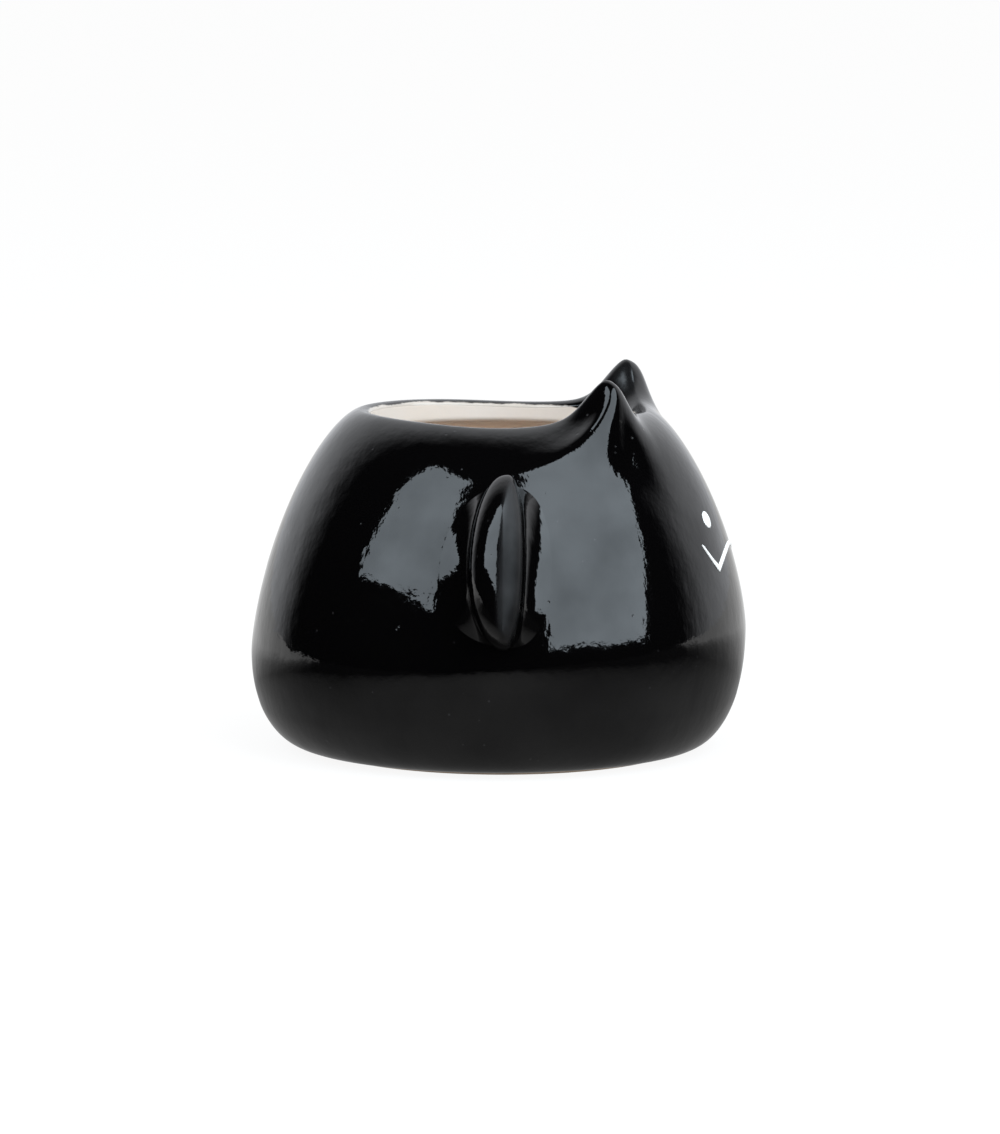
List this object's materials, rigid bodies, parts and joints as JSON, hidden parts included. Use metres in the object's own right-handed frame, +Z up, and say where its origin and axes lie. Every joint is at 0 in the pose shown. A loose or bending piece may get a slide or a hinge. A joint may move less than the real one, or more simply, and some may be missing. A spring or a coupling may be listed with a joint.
{
  "type": "animal shaped planter",
  "caption": "Round glazed ceramic planter shaped like an animal with pointed ears, stub wings and an enamel face, open at the top to hold a small plant",
  "frame": {"origin": "under the middle of the foot, on the surface that the planter stands on", "axes": "+Z up, the face looks along -Y, +X towards the animal's left wing"},
  "size_m": [0.144, 0.12, 0.092],
  "materials": {
    "fired_clay": "matte",
    "black_glaze": "gloss",
    "cream_glaze": "gloss",
    "white_enamel": "gloss"
  },
  "bodies": {
    "root": {"clay_body": "fired_clay", "black_glaze": "black_glaze", "cream_lining": "cream_glaze", "left_wing": "black_glaze", "right_wing": "black_glaze", "left_wing_slip": "fired_clay", "right_wing_slip": "fired_clay", "left_eye": "white_enamel", "right_eye": "white_enamel", "mouth": "white_enamel"}
  },
  "joints": []
}
